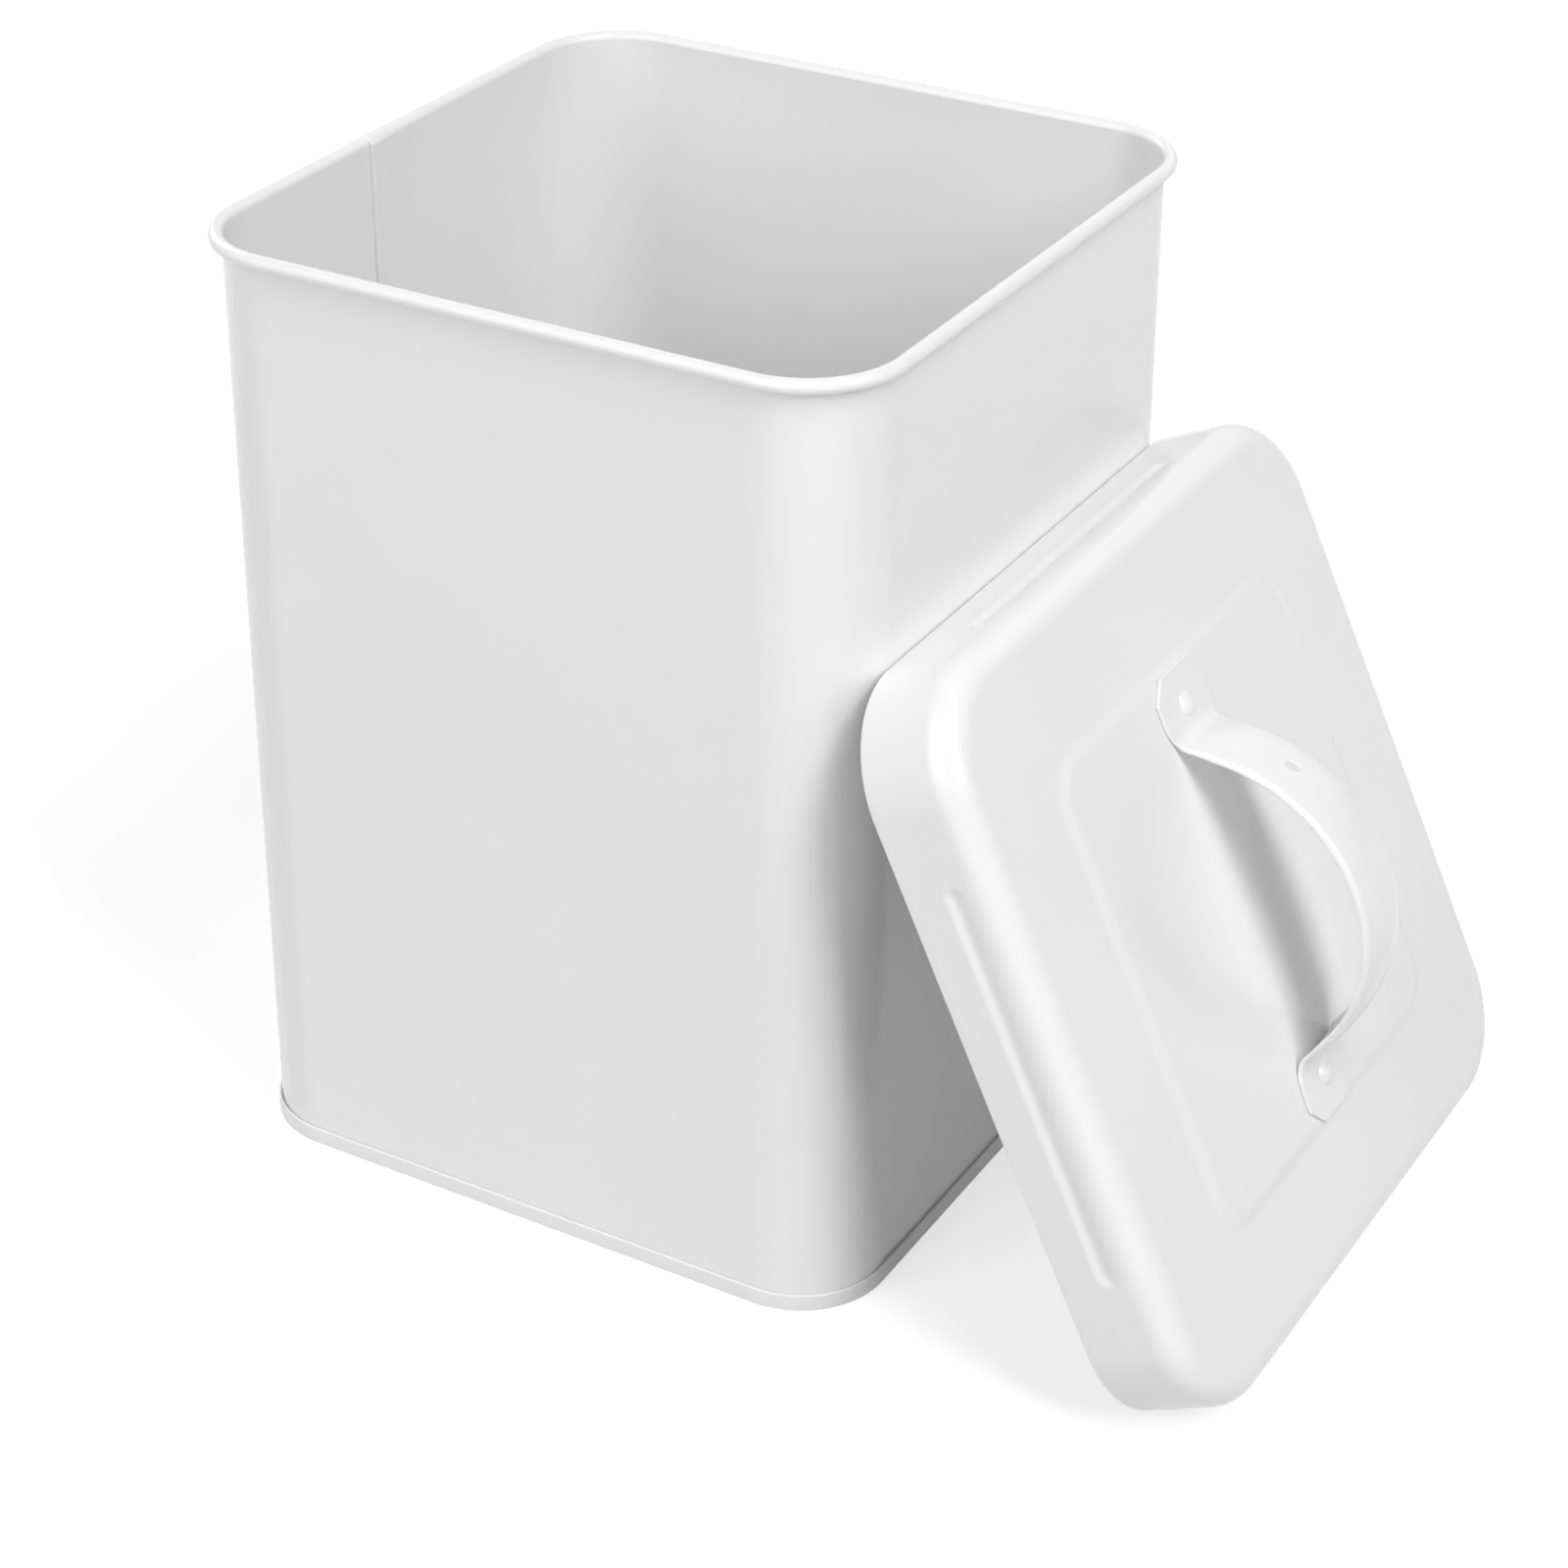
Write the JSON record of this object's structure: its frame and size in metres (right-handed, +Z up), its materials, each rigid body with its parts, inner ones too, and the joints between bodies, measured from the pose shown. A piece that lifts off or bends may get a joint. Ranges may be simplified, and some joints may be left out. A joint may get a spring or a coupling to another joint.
{
  "type": "metal detergent container",
  "caption": "White powder-coated sheet-steel powder tin, rounded square with curled rim and folded base, its lift-off lid with a riveted strap handle leaning on one side.",
  "frame": {"origin": "centre of the tin's base, on the surface that it stands on", "axes": "+Z up through the tin's mouth, -Y out of its front face, +X towards the lid that leans on its right-hand wall"},
  "size_m": [0.2702, 0.1832, 0.239],
  "materials": {
    "powder_coat": "white powder coat, satin with a fine orange-peel texture"
  },
  "bodies": {
    "root": {"tin_wall": "powder_coat", "tin_base": "powder_coat", "lid": "powder_coat", "lid_handle": "powder_coat", "handle_rivets": "powder_coat"}
  },
  "joints": []
}
